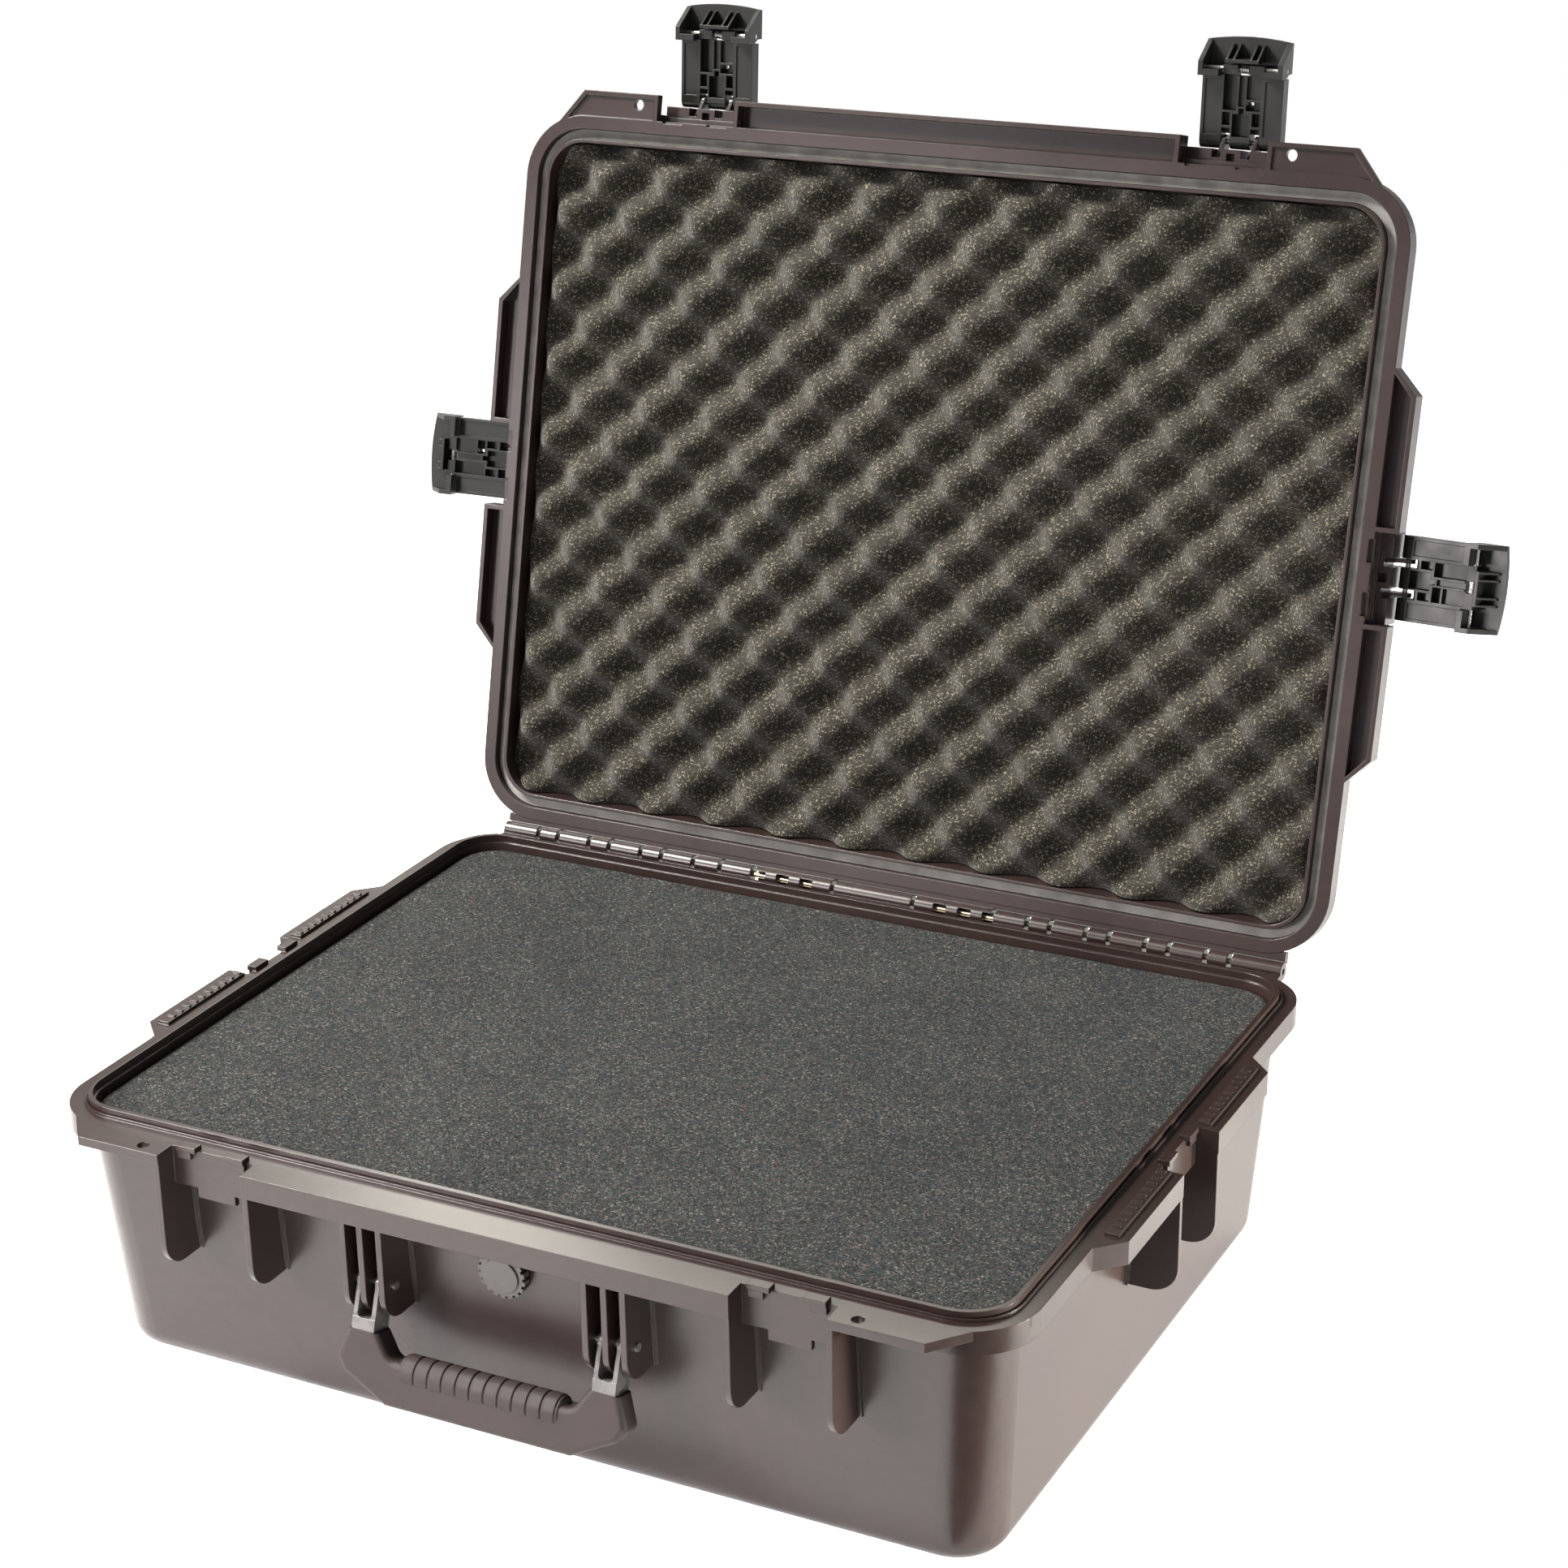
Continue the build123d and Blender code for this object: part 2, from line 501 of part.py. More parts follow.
def trigger():
    """Lever across the latch's end: its lips hook under the base and its bowed edge is pulled."""
    w_out, w_in = TRIGGER_SHELL_W
    half = TRIGGER_HALF
    corner_u = TRIGGER_CORNER_U
    heel = TRIGGER_U - 1.9
    cheek_end = corner_u - 0.4
    cheek_outline = [
        (-LIP_U, -LIP_W), (-LIP_U, -2.9), (-heel, 1.1), (-heel, -w_out),
        (-cheek_end, -w_out), (-cheek_end, 4.1), (-TRIGGER_U - 4.6, -LIP_W),
    ]
    lever = side_plate(cheek_outline, half - 3, half)
    lever += side_plate(cheek_outline, -half, -half + 3)
    bowed_edge = ThreePointArc((half, -corner_u), (0, -TRIGGER_TIP_U), (-half, -corner_u))
    sides = Polyline((-half, -corner_u), (-half, -heel), (half, -heel), (half, -corner_u))
    lever += Pos(0, 0, -w_in) * extrude(make_face([bowed_edge, sides]), w_in - w_out)
    for s in (-1, 1):
        lip_x = (s * LIP_X[0], s * LIP_X[1])
        lever += block(lip_x, (-LIP_U, -TRIGGER_U), (-LIP_W, -3.5))
        lever += block(lip_x, (-LIP_U, -heel), (-4.0, 1.0))
    bar_u = TRIGGER_U + 4.1
    lever += block((-10.5, 10.5), (-bar_u, -bar_u - 2), (-8.9, -w_in))
    gusset_u = (bar_u + 1.4, bar_u + 9.9)
    gusset = [(-gusset_u[0], -8.9), (-gusset_u[0], 5), (-gusset_u[1], 5), (-gusset_u[1], 3)]
    for x in (-9.7, -5.3, 5.3, 9.7):
        lever += side_plate(gusset, x - GUSSET_THICK / 2, x + GUSSET_THICK / 2)
    return lever - rod(TRIGGER_PIN_R + RUNNING_FIT, -30, 30, -TRIGGER_U, -TRIGGER_W)


def trigger_spring():
    """Closed sleeve of the torsion spring, with one leg."""
    coil = rod(SPRING_R, -SPRING_HALF, SPRING_HALF, -TRIGGER_U, -TRIGGER_W)
    coil -= rod(TRIGGER_PIN_R + 0.3, -4, 4, -TRIGGER_U, -TRIGGER_W)
    leg_x = (-SPRING_HALF, -SPRING_HALF + 0.8)
    return coil + block(leg_x, (-TRIGGER_U + 2.0, -TRIGGER_U + 3.4), (-2.6, -1.8))


def latch_pieces():
    return {
        "plate": latch_plate(),
        "trigger": trigger(),
        "hinge_pin": rod(LATCH_PIN_R, -LATCH_HALF + 0.2, LATCH_HALF - 0.2),
        "trigger_pin": rod(TRIGGER_PIN_R, -TRIGGER_HALF + 0.2, TRIGGER_HALF - 0.2, -TRIGGER_U, -TRIGGER_W),
        "trigger_spring": trigger_spring(),
    }


# ---- handle --------------------------------------------------------------------------------
def hang_handle(shape):
    """Turn a handle piece, drawn hanging straight down from the origin, to its rest."""
    return Pos(0, PIVOT_Y, PIVOT_Z) * Rot(X=-HANDLE_LEAN) * shape


def handle_slots():
    """Middles of the two slots between the three ribs that carry one end."""
    a, b, c = HANDLE_RIBS
    return ((a + b) / 2, (b + c) / 2)


def handle_core():
    """Stiff bar inside the grip with a two-pronged fork at each end."""
    core = block((-CORE_HALF, CORE_HALF), (-4.0, 4.0), CORE_Z)
    half = FORK_HALF_THICK
    outer = [x + s * TINE_THICK / 2 for x, s in zip(handle_slots(), (-1, 1))]
    fork = block(outer, (-half, half), FORK_Z)
    for x in handle_slots():
        tine = side_plate([(-5.5, 0), (-half, FORK_Z[0]), (half, FORK_Z[0]), (5.5, 0)],
                          x - TINE_THICK / 2, x + TINE_THICK / 2)
        fork += tine + rod(6.0, x - TINE_THICK / 2, x + TINE_THICK / 2)
    crotch = [e for e in fork.edges().filter_by(Axis.Y)
              if abs(e.center().Z - FORK_Z[1]) < 0.05 and outer[0] + 1 < e.center().X < outer[1] - 1]
    fork = fillet(crotch, 2.4)
    fork += block((outer[0] + 2, outer[1] - 2), (-4.0, 4.0), (STEM_FOOT_Z, FORK_Z[0] + 1))
    core += mirrored(fork)
    core -= rod(HANDLE_PIN_R + RUNNING_FIT, -100, 100)
    return core


def handle_grip():
    """Soft grip: arms that widen downwards, chamfered lower corners and a ribbed finger bar."""
    t = HANDLE_HALF_THICK
    top = FORK_Z[0]
    right = [(58.0, -66), (85.5, -52), (90.5, -44), (84.6, top), (65.6, top), (57.0, ARM_Z)]
    left = [(-x, z) for x, z in right[::-1]]
    face = make_face(Polyline(*(right + left), close=True))
    plane = Plane(origin=(0, t, 0), x_dir=(1, 0, 0), z_dir=(0, -1, 0))
    grip = plane * extrude(face, 2 * t)
    inside = [e for e in grip.edges().filter_by(Axis.Y) if abs(e.center().Z - ARM_Z) < 0.1]
    grip = fillet(inside, 7.0)
    bottom = [e for e in grip.edges().filter_by(Axis.Y) if e.center().Z < ARM_Z - 3]
    grip = fillet(bottom, 4.0)
    rims = [e for f in grip.faces().filter_by(Axis.Y) for e in f.edges() if e.center().Z < top - 0.5]
    grip = fillet(rims, 3.5)
    bar = rod(GRIP_R, -GRIP_HALF, GRIP_HALF, 0, GRIP_Z)
    grip += chamfer(bar.edges(), 3.0)
    ring = rod(GRIP_R + FINGER_RIB_HIGH, -FINGER_RIB_LONG / 2, FINGER_RIB_LONG / 2, 0, GRIP_Z)
    ring = fillet(ring.edges(), 0.6) & block((-20, 20), (-20, 20), (GRIP_Z - 5, 0))
    first = -FINGER_RIB_PITCH * (FINGER_RIBS - 1) / 2
    for n in range(FINGER_RIBS):
        grip += Pos(first + FINGER_RIB_PITCH * n, 0, 0) * ring
    return grip


NODES = {}
NODES["base_shell"] = base_shell()
NODES["foam_bottom_pad"] = foam_layer(FOAM_LEVELS[0], FOAM_LEVELS[1])
NODES["foam_lower_layer"] = foam_layer(FOAM_LEVELS[1] + 0.3, FOAM_LEVELS[2])
nut_room = on_wall(Pos(0, 0, -WALL - 5) * Cylinder(12.5, 12))
NODES["foam_upper_layer"] = foam_layer(FOAM_LEVELS[2] + 0.3, FOAM_LEVELS[3]) - nut_room
NODES["valve_body"] = valve_body()
NODES["valve_seal"] = valve_seal()
NODES["valve_nut"] = valve_nut()
for side, name in ((-1, "left"), (1, "right")):
    x0, x1 = sorted((side * 2.0, side * (HINGE_HALF - 1.0)))
    NODES["hinge_pin_" + name] = rod(HINGE_PIN_R, x0, x1, HINGE_Y, HINGE_Z)
    x0, x1 = sorted((side * (HANDLE_RIBS[0] - 3.0), side * (HANDLE_RIBS[2] + 3.0)))
    NODES["handle_pin_" + name] = rod(HANDLE_PIN_R, x0, x1, PIVOT_Y, PIVOT_Z)
core = handle_core()
NODES["handle_core"] = hang_handle(core)
NODES["handle_grip"] = hang_handle(handle_grip() - core)
NODES["lid_shell"] = lid_shell()
NODES["lid_gasket"] = lid_gasket()
NODES["lid_foam"] = lid_foam()
for piece_name, piece in latch_pieces().items():
    raised = Pos(0, LATCH_AXIS_SET, LATCH_AXIS_Z) * Rot(X=LATCH_LEAN) * piece
    NODES["front_left_latch_" + piece_name] = swing_lid(on_front(raised, -1))
    NODES["front_right_latch_" + piece_name] = swing_lid(on_front(raised, 1))
    NODES["side_left_latch_" + piece_name] = swing_lid(on_side(raised, -1))
    NODES["side_right_latch_" + piece_name] = swing_lid(on_side(raised, 1))

os.makedirs("parts", exist_ok=True)
for name, shape in NODES.items():
    export_step(shape, "parts/" + name + ".step")
    print(name, len(shape.solids()), round(shape.volume))
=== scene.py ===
"""Looks of an open hard equipment case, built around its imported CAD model."""

import json
import math

import bmesh
import bpy
import numpy as np
from mathutils import Matrix, Vector, noise


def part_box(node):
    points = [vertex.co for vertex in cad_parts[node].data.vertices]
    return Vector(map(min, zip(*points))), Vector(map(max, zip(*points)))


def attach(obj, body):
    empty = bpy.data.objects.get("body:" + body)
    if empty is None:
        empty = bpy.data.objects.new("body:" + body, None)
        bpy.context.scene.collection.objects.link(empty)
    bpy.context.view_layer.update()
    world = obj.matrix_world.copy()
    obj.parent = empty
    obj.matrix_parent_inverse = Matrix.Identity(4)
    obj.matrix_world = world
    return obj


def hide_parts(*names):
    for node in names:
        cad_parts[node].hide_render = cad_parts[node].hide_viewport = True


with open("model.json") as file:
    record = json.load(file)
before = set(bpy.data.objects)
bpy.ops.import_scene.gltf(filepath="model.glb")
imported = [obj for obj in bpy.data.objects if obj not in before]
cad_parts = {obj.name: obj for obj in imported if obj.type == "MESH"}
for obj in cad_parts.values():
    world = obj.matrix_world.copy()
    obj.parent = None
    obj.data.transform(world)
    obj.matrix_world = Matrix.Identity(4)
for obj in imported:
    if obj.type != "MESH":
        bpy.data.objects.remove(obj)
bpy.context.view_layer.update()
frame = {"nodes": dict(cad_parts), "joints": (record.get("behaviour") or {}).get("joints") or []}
MM = 0.001


# ---- node materials ------------------------------------------------------------------------
class Paint:
    """A node material: a Principled shader on object coordinates."""

    def __init__(self, name, roughness=0.5, metallic=0.0, specular=0.5):
        self.material = bpy.data.materials.new(name)
        self.material.use_nodes = True
        self.tree = self.material.node_tree
        self.shader = self.tree.nodes["Principled BSDF"]
        self.shader.inputs["Roughness"].default_value = roughness
        self.shader.inputs["Metallic"].default_value = metallic
        self.shader.inputs["Specular IOR Level"].default_value = specular
        self.coords = self.tree.nodes.new("ShaderNodeTexCoord").outputs["Object"]
        self.normal = None

    def node(self, kind, **settings):
        made = self.tree.nodes.new(kind)
        for key, value in settings.items():
            setattr(made, key, value)
        return made

    def link(self, source, target):
        self.tree.links.new(source, target)

    def noise(self, scale, detail=2.0, roughness=0.5, stretch=None):
        made = self.node("ShaderNodeTexNoise")
        made.inputs["Scale"].default_value = scale
        made.inputs["Detail"].default_value = detail
        made.inputs["Roughness"].default_value = roughness
        self.link(self.stretched(stretch), made.inputs["Vector"])
        return made.outputs["Fac"]

    def cells(self, scale, feature="F1", output="Distance"):
        made = self.node("ShaderNodeTexVoronoi", feature=feature)
        made.inputs["Scale"].default_value = scale
        self.link(self.coords, made.inputs["Vector"])
        return made.outputs[output]

    def stretched(self, scale):
        if scale is None:
            return self.coords
        made = self.node("ShaderNodeMapping")
        made.inputs["Scale"].default_value = scale
        self.link(self.coords, made.inputs["Vector"])
        return made.outputs["Vector"]

    def ramp(self, value, stops, interpolation="LINEAR"):
        made = self.node("ShaderNodeValToRGB")
        made.color_ramp.interpolation = interpolation
        elements = made.color_ramp.elements
        while len(elements) < len(stops):
            elements.new(1.0)
        for element, (place, colour) in zip(elements, stops):
            element.position = place
            element.color = (*colour, 1.0)
        self.link(value, made.inputs["Fac"])
        return made.outputs["Color"]

    def spread(self, value, low, high, new_low, new_high):
        made = self.node("ShaderNodeMapRange")
        for key, number in zip(("From Min", "From Max", "To Min", "To Max"),
                               (low, high, new_low, new_high)):
            made.inputs[key].default_value = number
        self.link(value, made.inputs["Value"])
        return made.outputs["Result"]

    def mix(self, factor, a, b, blend="MIX"):
        made = self.node("ShaderNodeMix", data_type="RGBA", blend_type=blend)
        for key, value in ((0, factor), (6, a), (7, b)):
            if isinstance(value, (float, int)):
                made.inputs[key].default_value = value
            elif isinstance(value, tuple):
                made.inputs[key].default_value = (*value, 1.0)
            else:
                self.link(value, made.inputs[key])
        return made.outputs[2]

    def rounded(self, radius):
        """Softens sharp moulded edges in the shading."""
        made = self.node("ShaderNodeBevel", samples=4)
        made.inputs["Radius"].default_value = radius
        self.normal = made.outputs["Normal"]

    def bump(self, height, distance, strength=1.0):
        made = self.node("ShaderNodeBump")
        made.inputs["Distance"].default_value = distance
        made.inputs["Strength"].default_value = strength
        self.link(height, made.inputs["Height"])
        if self.normal is not None:
            self.link(self.normal, made.inputs["Normal"])
        self.normal = made.outputs["Normal"]

    def finish(self, colour=None, roughness=None):
        if colour is not None:
            self.link(colour, self.shader.inputs["Base Color"])
        if roughness is not None:
            self.link(roughness, self.shader.inputs["Roughness"])
        if self.normal is not None:
            self.link(self.normal, self.shader.inputs["Normal"])
        return self.material


def shell_plastic():
    paint = Paint("shell_plastic", specular=0.5)
    cloud = paint.noise(9.0, 4.0)
    fine = paint.noise(160.0, 3.0)
    base = paint.ramp(cloud, ((0.3, (0.019, 0.010, 0.009)), (0.7, (0.028, 0.016, 0.014))))
    dust = paint.ramp(fine, ((0.35, (0.012, 0.008, 0.007)), (0.7, (0.031, 0.021, 0.018))))
    colour = paint.mix(0.25, base, dust)
    paint.rounded(0.9 * MM)
    paint.bump(paint.noise(2600.0, 2.0), 0.03 * MM, 0.5)
    return paint.finish(colour, paint.spread(cloud, 0.3, 0.7, 0.27, 0.33))


def latch_plastic():
    paint = Paint("latch_plastic", specular=0.4)
    cloud = paint.noise(60.0, 4.0)
    colour = paint.ramp(cloud, ((0.3, (0.006, 0.006, 0.005)), (0.7, (0.012, 0.012, 0.011))))
    paint.rounded(0.5 * MM)
    paint.bump(paint.noise(3000.0, 2.0), 0.02 * MM, 0.4)
    return paint.finish(colour, paint.spread(cloud, 0.3, 0.7, 0.28, 0.42))


def valve_plastic():
    paint = Paint("valve_plastic", specular=0.5)
    cloud = paint.noise(120.0, 4.0)
    colour = paint.ramp(cloud, ((0.3, (0.045, 0.040, 0.036)), (0.7, (0.066, 0.059, 0.053))))
    paint.rounded(0.4 * MM)
    paint.bump(paint.noise(2600.0, 2.0), 0.02 * MM, 0.4)
    return paint.finish(colour, paint.spread(cloud, 0.3, 0.7, 0.35, 0.5))


def soft_grip():
    paint = Paint("soft_grip", specular=0.35)
    cloud = paint.noise(45.0, 4.0)
    colour = paint.ramp(cloud, ((0.3, (0.020, 0.013, 0.012)), (0.7, (0.030, 0.021, 0.020))))
    paint.rounded(0.8 * MM)
    paint.bump(paint.cells(1500.0), 0.06 * MM, 0.5)
    return paint.finish(colour, paint.spread(cloud, 0.3, 0.7, 0.52, 0.66))


def gasket():
    paint = Paint("gasket", specular=0.3)
    cloud = paint.noise(70.0, 3.0)
    colour = paint.ramp(cloud, ((0.3, (0.160, 0.153, 0.142)), (0.7, (0.290, 0.280, 0.262))))
    paint.bump(paint.noise(1500.0, 3.0), 0.08 * MM, 0.6)
    return paint.finish(colour, paint.spread(cloud, 0.3, 0.7, 0.55, 0.75))


def base_foam():
    paint = Paint("base_foam", roughness=0.95, specular=0.1)
    cell_colour = paint.cells(1000.0, output="Color")
    grain = paint.node("ShaderNodeSeparateColor")
    paint.link(cell_colour, grain.inputs["Color"])
    speckle = paint.ramp(grain.outputs["Red"], (
        (0.0, (0.003, 0.003, 0.003)), (0.35, (0.020, 0.023, 0.022)), (0.58, (0.023, 0.040, 0.045)),
        (0.78, (0.096, 0.063, 0.052)), (0.88, (0.030, 0.048, 0.052)), (1.0, (0.215, 0.195, 0.165))))
    soft = paint.ramp(paint.noise(900.0, 3.0), ((0.3, (0.004, 0.004, 0.004)), (0.7, (0.078, 0.078, 0.075))))
    cloud = paint.ramp(paint.noise(14.0, 3.0), ((0.3, (0.80, 0.80, 0.82)), (0.7, (1.0, 1.0, 1.0))))
    colour = paint.mix(1.0, paint.mix(0.35, speckle, soft), cloud, "MULTIPLY")
    paint.bump(paint.cells(900.0), 0.5 * MM, 0.8)
    paint.bump(paint.noise(420.0, 2.0), 0.4 * MM, 0.5)
    return paint.finish(colour)


def lid_foam():
    paint = Paint("lid_foam", roughness=0.95, specular=0.1)
    cell_colour = paint.cells(1150.0, output="Color")
    grain = paint.node("ShaderNodeSeparateColor")
    paint.link(cell_colour, grain.inputs["Color"])
    speckle = paint.ramp(grain.outputs["Red"], (
        (0.0, (0.008, 0.007, 0.005)), (0.60, (0.023, 0.020, 0.014)), (0.85, (0.045, 0.039, 0.029)),
        (1.0, (0.20, 0.18, 0.14))))
    cloud = paint.ramp(paint.noise(11.0, 3.0), ((0.3, (0.82, 0.84, 0.80)), (0.7, (1.0, 1.0, 1.0))))
    colour = paint.mix(1.0, speckle, cloud, "MULTIPLY")
    paint.shader.inputs["Sheen Weight"].default_value = 0.15
    paint.shader.inputs["Sheen Roughness"].default_value = 0.6
    paint.bump(paint.cells(900.0), 0.4 * MM, 0.7)
    return paint.finish(colour)


def fork_plastic():
    paint = Paint("fork_plastic", specular=0.8)
    cloud = paint.noise(90.0, 3.0)
    colour = paint.ramp(cloud, ((0.3, (0.085, 0.080, 0.075)), (0.7, (0.130, 0.124, 0.118))))
    paint.rounded(0.4 * MM)
    paint.bump(paint.noise(1800.0, 2.0), 0.01 * MM, 0.4)
    return paint.finish(colour, paint.spread(cloud, 0.3, 0.7, 0.22, 0.34))


def brass_pin():
    paint = Paint("brass_pin", metallic=1.0)
    cloud = paint.noise(90.0, 3.0)
    colour = paint.ramp(cloud, ((0.3, (0.52, 0.42, 0.27)), (0.7, (0.72, 0.62, 0.44))))
    paint.bump(paint.noise(800.0, 2.0, stretch=(0.05, 1, 1)), 0.02 * MM, 0.4)
    return paint.finish(colour, paint.spread(cloud, 0.3, 0.7, 0.22, 0.36))


def steel():
    paint = Paint("steel", metallic=1.0)
    cloud = paint.noise(300.0, 3.0)
    colour = paint.ramp(cloud, ((0.3, (0.45, 0.44, 0.42)), (0.7, (0.62, 0.61, 0.59))))
    paint.bump(paint.noise(2500.0, 2.0), 0.01 * MM, 0.4)
    return paint.finish(colour, paint.spread(cloud, 0.3, 0.7, 0.22, 0.38))


MATERIALS = {make.__name__: make() for make in (
    shell_plastic, latch_plastic, valve_plastic, fork_plastic, soft_grip, gasket,
    base_foam, lid_foam, brass_pin, steel)}


def dress(obj, slot):
    """Put a slot's material on an object."""
    obj.data.materials.clear()
    obj.data.materials.append(MATERIALS[slot])


for part in frame["nodes"].values():
    for place in part.material_slots:
        place.material = MATERIALS[place.material.name.split(".")[0]]


# ---- foam ----------------------------------------------------------------------------------
EDGE_STEPS = (0.0, 0.4, 1.1, 2.2, 3.8)


def spaced(half, pitch):
    """Grid lines from -half to half, close together near both ends."""
    inner = half - EDGE_STEPS[-1] * MM - pitch / 2
    count = max(2, round(2 * inner / pitch))
    near = [half - step * MM for step in EDGE_STEPS]
    middle = [inner - 2 * inner * n / count for n in range(count + 1)]
    return [-x for x in near] + middle[::-1] + near[::-1]


def to_rounded(x, y, half_x, half_y, corner):
    """Move a point of a square-cornered rectangle into a round-cornered one."""
    over_x = abs(x) - (half_x - corner)
    over_y = abs(y) - (half_y - corner)
    if over_x <= 0 or over_y <= 0:
        return x, y
    scale = max(over_x, over_y) / math.hypot(over_x, over_y)
    return (math.copysign(half_x - corner + over_x * scale, x),
            math.copysign(half_y - corner + over_y * scale, y))


def foam_block(name, half_x, half_y, corner, low, high, pitch, rows):
    """A closed foam block. low and high give z from x, y and the distance to the edge, and rows
    gives how far in its side stands at each share of its height."""
    lines_x = spaced(half_x, pitch)
    lines_y = spaced(half_y, pitch)
    mesh = bmesh.new()
    layers = []
    for surface in (low, high):
        grid = []
        for y0 in lines_y:
            row = []
            for x0 in lines_x:
                edge = min(half_x - abs(x0), half_y - abs(y0))
                x, y = to_rounded(x0, y0, half_x, half_y, corner)
                row.append(mesh.verts.new((x, y, surface(x, y, edge))))
            grid.append(row)
        layers.append(grid)
    for grid, flip in zip(layers, (True, False)):
        for a, b in zip(grid, grid[1:]):
            for n in range(len(a) - 1):
                corners = (a[n], a[n + 1], b[n + 1], b[n])
                mesh.faces.new(corners[::-1] if flip else corners)

    def border(grid):
        bottom = grid[0][:-1]
        right = [row[-1] for row in grid[:-1]]
        top = grid[-1][:0:-1]
        left = [row[0] for row in grid[:0:-1]]
        return bottom + right + top + left

    below, above = (border(grid) for grid in layers)
    rings = [below]
    for share, inward in rows:
        ring = []
        for a, b in zip(below, above):
            point = a.co.lerp(b.co, share)
            away = Vector((point.x / half_x, point.y / half_y, 0)).normalized()
            ring.append(mesh.verts.new(point - away * inward(point)))
        rings.append(ring)
    rings.append(above)
    for a, b in zip(rings, rings[1:]):
        for n in range(len(a)):
            m = (n + 1) % len(a)
            mesh.faces.new((a[n], a[m], b[m], b[n]))
    data = bpy.data.meshes.new(name)
    bmesh.ops.recalc_face_normals(mesh, faces=mesh.faces)
    mesh.to_mesh(data)
    mesh.free()
    for face in data.polygons:
        face.use_smooth = True
    obj = bpy.data.objects.new(name, data)
    bpy.context.scene.collection.objects.link(obj)
    return obj


def wander(x, y, scale, seed):
    """Smooth seeded unevenness from -1 to 1."""
    return noise.noise(Vector((x * scale + seed, y * scale - seed, seed * 0.7)))


def wall_taper():
    """How far the foam's side leans inwards for each metre of depth."""
    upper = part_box("foam_upper_layer")[1]
    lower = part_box("foam_lower_layer")[1]
    return (upper.x - lower.x) / (upper.z - lower.z)


def base_layer(node, corner, top_round, low_round):
    """A flat layer of foam cut a little unevenly, with softened edges."""
    lowest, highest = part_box(node)
    half_x = highest.x - 0.3 * MM
    half_y = highest.y - 0.3 * MM
    seed = highest.z * 50
    taper = wall_taper()

    def high(x, y, edge):
        roll = top_round * max(0.0, 1 - edge / (3.8 * MM)) ** 2
        wave = 0.5 * MM * wander(x, y, 14, seed) + 0.15 * MM * wander(x, y, 90, seed + 3)
        return highest.z - 0.8 * MM + wave - roll

    def low(x, y, edge):
        return lowest.z + 0.3 * MM + low_round * max(0.0, 1 - edge / (8 * MM)) ** 2

    def pulled(point):
        near_valve = (Vector((point.x, point.y - valve_centre.y, point.z - valve_centre.z)).length
                      < 15 * MM)
        return 0.5 * MM + (8 * MM if near_valve else 0.0)

    rows = [(share, pulled) for share in (0.08, 0.25, 0.42, 0.58, 0.75, 0.92)]
    obj = foam_block(node + "_cut", half_x, half_y, corner, low, high, 4 * MM, rows)
    for vertex in obj.data.vertices:
        lean = taper * (highest.z - vertex.co.z)
        vertex.co.x *= 1 - lean / half_x
        vertex.co.y *= 1 - lean / half_y
    return obj


nut_low, nut_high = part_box("valve_nut")
valve_centre = (nut_low + nut_high) / 2

for layer, top_round, low_round in (("foam_bottom_pad", 0.6, 7.0), ("foam_lower_layer", 0.6, 0.6),
                                    ("foam_upper_layer", 1.6, 0.6)):
    piece = base_layer(layer, 26 * MM, top_round * MM, low_round * MM)
    dress(piece, "base_foam")
    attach(piece, "base")
    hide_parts(layer)

EGG_PITCH = 48.4 * MM
EGG_DEPTH = 9.5 * MM
EGG_PROUD = 3.5 * MM                             # how far the peaks stand past the plain CAD block
lid_joint = next(j for j in frame["joints"] if j["name"] == "lid_hinge")
hinge_at = Vector(lid_joint["pos_m"])
lid_swing = math.radians(lid_joint["range_deg"][1])
open_lid = (Matrix.Translation(hinge_at) @ Matrix.Rotation(-lid_swing, 4, "X")
            @ Matrix.Translation(-hinge_at))


def closed_box(node):
    """A lid node's box with the lid swung shut."""
    shut = open_lid.inverted()
    points = [shut @ v.co for v in frame["nodes"][node].data.vertices]
    low = Vector(min(p[n] for p in points) for n in range(3))
    high = Vector(max(p[n] for p in points) for n in range(3))
    return low, high


def egg_crate():
    """The lid's foam, with staggered peaks cut into its face."""
    lowest, highest = closed_box("lid_foam")
    half_x = highest.x - 0.3 * MM
    half_y = highest.y - 0.3 * MM
    face = lowest.z - EGG_PROUD

    def low(x, y, edge):
        wobble_x = x + 1.2 * MM * wander(x, y, 30, 5)
        wobble_y = y + 1.2 * MM * wander(x, y, 30, 9)
        wave = math.cos(2 * math.pi * wobble_x / EGG_PITCH) * math.cos(2 * math.pi * wobble_y / EGG_PITCH)
        height = EGG_DEPTH * (1 - wave)
        roll = 1.4 * MM * max(0.0, 1 - edge / (3.8 * MM)) ** 2
        return face + height + roll + 0.2 * MM * wander(x, y, 120, 2)

    def high(x, y, edge):
        return highest.z - 0.3 * MM - 6.0 * MM * max(0.0, 1 - edge / (3.8 * MM)) ** 2

    def pulled(point):
        return 0.6 * MM + 4.0 * MM * max(0.0, (point.z - lowest.z) / (highest.z - lowest.z) - 0.2)

    rows = [(share, pulled) for share in (0.06, 0.2, 0.4, 0.6, 0.8, 0.95)]
    obj = foam_block("lid_foam_egg_crate", half_x, half_y, 22 * MM, low, high, 3.2 * MM, rows)
    obj.data.transform(open_lid)
    return obj


crate = egg_crate()
dress(crate, "lid_foam")
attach(crate, "lid")
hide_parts("lid_foam")


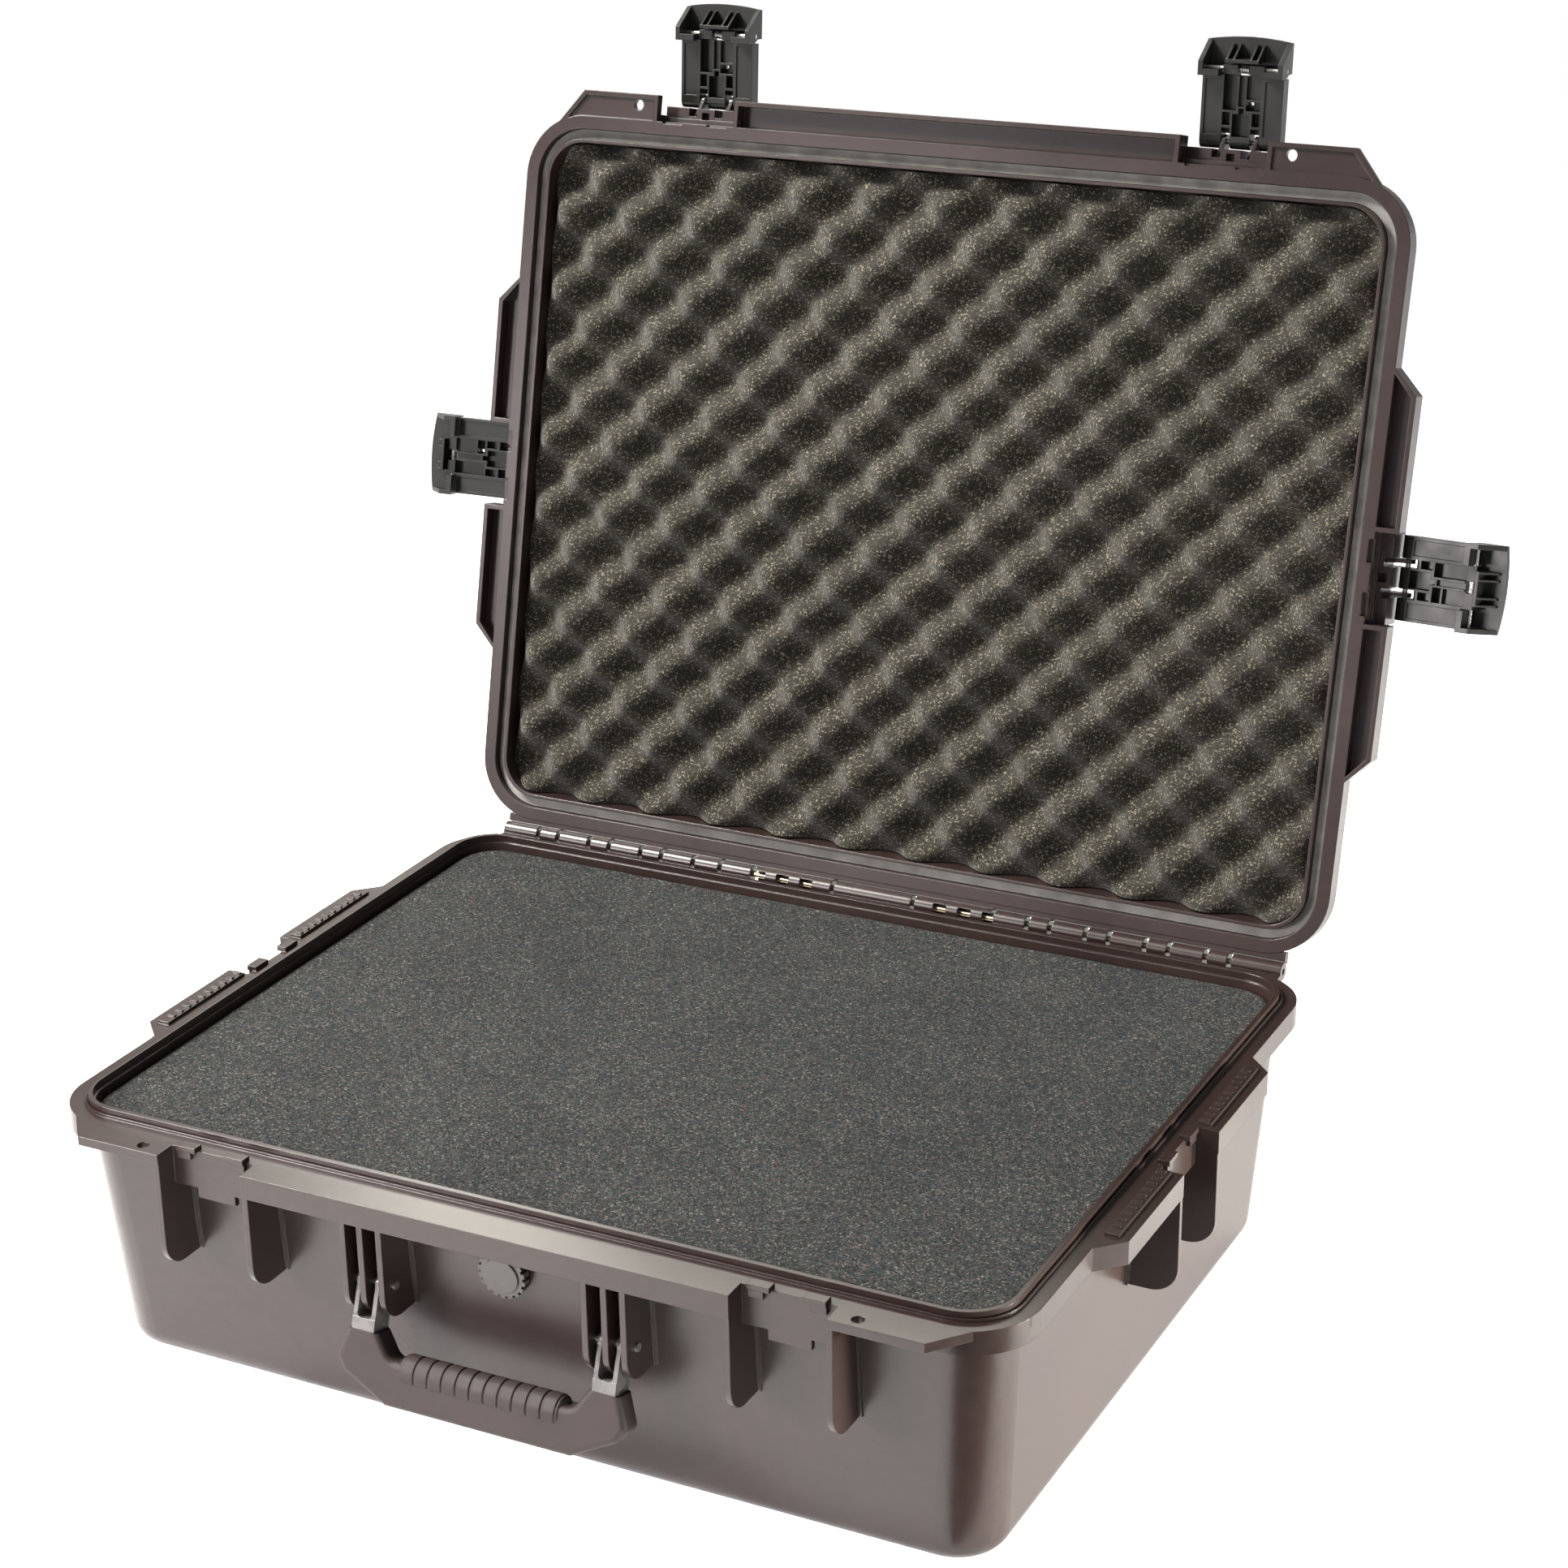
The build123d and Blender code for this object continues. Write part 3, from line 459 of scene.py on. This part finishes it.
# ---- trigger springs -----------------------------------------------------------------------
COIL_R = 2.3 * MM
WIRE_R = 0.42 * MM
COIL_HALF = 2.5 * MM
COIL_TURNS = 4.5
COIL_STEPS = 90
WIRE_SIDES = 8
LEG = 2.6 * MM
joint_at = {joint["name"]: joint for joint in frame["joints"]}


def wound_spring(latch):
    """A wound torsion spring round a trigger pin, with two legs towards the latch's hinge."""
    pivot = joint_at[latch + "_trigger_hinge"]
    centre = Vector(pivot["pos_m"])
    axis = Vector(pivot["axis"]).normalized()
    inwards = (Vector(joint_at[latch + "_latch_hinge"]["pos_m"]) - centre).normalized()
    across = axis.cross(inwards)
    path = []
    for n in range(COIL_STEPS + 1):
        angle = math.pi / 2 + 2 * math.pi * COIL_TURNS * n / COIL_STEPS
        out = math.cos(angle) * inwards + math.sin(angle) * across
        along = axis * COIL_HALF * (2 * n / COIL_STEPS - 1)
        path.append((centre + along + COIL_R * out, out))
    path.insert(0, (path[0][0] + LEG * inwards, path[0][1]))
    path.append((path[-1][0] + LEG * inwards, path[-1][1]))
    mesh = bmesh.new()
    rings = []
    for point, out in path:
        ring = []
        for k in range(WIRE_SIDES):
            turn = 2 * math.pi * k / WIRE_SIDES
            ring.append(mesh.verts.new(point + WIRE_R * (math.cos(turn) * out + math.sin(turn) * axis)))
        rings.append(ring)
    for a, b in zip(rings, rings[1:]):
        for k in range(WIRE_SIDES):
            m = (k + 1) % WIRE_SIDES
            mesh.faces.new((a[k], a[m], b[m], b[k]))
    for ring in (rings[0], rings[-1]):
        mesh.faces.new(ring)
    bmesh.ops.recalc_face_normals(mesh, faces=mesh.faces)
    data = bpy.data.meshes.new(latch + "_wound_spring")
    mesh.to_mesh(data)
    mesh.free()
    for face in data.polygons:
        face.use_smooth = True
    obj = bpy.data.objects.new(latch + "_wound_spring", data)
    bpy.context.scene.collection.objects.link(obj)
    return obj


for latch in ("front_left", "front_right", "side_left", "side_right"):
    coil = wound_spring(latch)
    dress(coil, "steel")
    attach(coil, latch + "_latch")
    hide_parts(latch + "_latch_trigger_spring")


# ---- camera, floor and light ---------------------------------------------------------------
CAMERA_AT = Vector((0.8555, -1.5610, 1.0206))
CAMERA_AZIMUTH = math.radians(27.50)
CAMERA_ELEVATION = math.radians(23.13)
CAMERA_ROLL = math.radians(-1.07)
FOCAL = 2.1542                                   # in frame widths


def make_camera():
    ahead = -Vector((math.sin(CAMERA_AZIMUTH) * math.cos(CAMERA_ELEVATION),
                     -math.cos(CAMERA_AZIMUTH) * math.cos(CAMERA_ELEVATION),
                     math.sin(CAMERA_ELEVATION)))
    flat_right = ahead.cross(Vector((0, 0, 1))).normalized()
    flat_up = flat_right.cross(ahead)
    right = math.cos(CAMERA_ROLL) * flat_right + math.sin(CAMERA_ROLL) * flat_up
    up = -math.sin(CAMERA_ROLL) * flat_right + math.cos(CAMERA_ROLL) * flat_up
    data = bpy.data.cameras.new("camera")
    data.sensor_width = 36.0
    data.lens = FOCAL * 36.0
    data.shift_x = 0.0153
    data.shift_y = 0.06
    data.clip_start = 0.05
    data.clip_end = 50.0
    obj = bpy.data.objects.new("camera", data)
    turn = Matrix((right, up, -ahead)).transposed().to_4x4()
    obj.matrix_world = Matrix.Translation(CAMERA_AT) @ turn
    bpy.context.scene.collection.objects.link(obj)
    bpy.context.scene.camera = obj


def area_light(name, place, target, size, power, spread, colour=(1, 1, 1)):
    """A softbox with a grid, spread given in degrees."""
    data = bpy.data.lights.new(name, "AREA")
    data.color = colour
    data.spread = math.radians(spread)
    data.shape = "RECTANGLE"
    data.size, data.size_y = size
    data.energy = power
    obj = bpy.data.objects.new(name, data)
    obj.location = place
    obj.rotation_euler = (Vector(target) - Vector(place)).to_track_quat("-Z", "Y").to_euler()
    obj.visible_camera = False
    bpy.context.scene.collection.objects.link(obj)


def ground(name, centre, half_x, half_y, paint_material):
    """A flat stage sheet."""
    mesh = bmesh.new()
    bmesh.ops.create_grid(mesh, x_segments=8, y_segments=8, size=1)
    data = bpy.data.meshes.new(name)
    mesh.to_mesh(data)
    mesh.free()
    sheet = bpy.data.objects.new(name, data)
    sheet.location = centre
    sheet.scale = (half_x, half_y, 1)
    data.materials.append(paint_material)
    bpy.context.scene.collection.objects.link(sheet)
    return sheet


def studio():
    world = bpy.data.worlds.new("studio")
    bpy.context.scene.world = world
    world.use_nodes = True
    background = world.node_tree.nodes["Background"]
    background.inputs["Color"].default_value = (1.0, 0.99, 0.97, 1.0)
    background.inputs["Strength"].default_value = 0.36
    area_light("key", (-1.75, -0.55, 2.45), (0, 0.3, 0.42), (0.8, 0.8), 22, 50, (1.0, 0.98, 0.93))
    area_light("back", (-0.7, 1.7, 1.7), (0, -0.1, 0.15), (1.4, 0.8), 42, 150, (1.0, 0.97, 0.88))
    area_light("right", (1.5, 0.30, 0.09), (0.3, -0.02, 0.04), (0.7, 0.14), 7.0, 40, (1.0, 0.99, 0.90))
    area_light("front_left", (-0.9, -1.3, 0.7), (0.05, -0.4, 0.0), (0.5, 0.4), 7, 70, (1.0, 0.94, 0.94))

    floor_paint = Paint("floor", roughness=0.7, specular=0.2)
    cloud = floor_paint.noise(3.0, 2.0)
    shade = floor_paint.ramp(cloud, ((0.3, (0.90, 0.90, 0.90)), (0.7, (0.94, 0.94, 0.94))))
    floor_paint.link(shade, floor_paint.shader.inputs["Emission Color"])
    floor_paint.shader.inputs["Emission Strength"].default_value = 0.75
    ground("floor", (0, 0, -0.0005), 12, 12, floor_paint.finish(shade))

    # A black card by the front right corner, seen only in the case's gloss.
    card_paint = Paint("card", roughness=0.9, specular=0.1)
    cloud = card_paint.noise(20.0, 2.0)
    black = card_paint.ramp(cloud, ((0.3, (0.004, 0.004, 0.004)), (0.7, (0.008, 0.008, 0.008))))
    card = ground("card", (0.52, -0.44, 0.004), 0.26, 0.22, card_paint.finish(black))
    card.visible_camera = False
    card.visible_diffuse = False
    card.visible_shadow = False
    bpy.context.scene.view_settings.view_transform = "Standard"


make_camera()
studio()
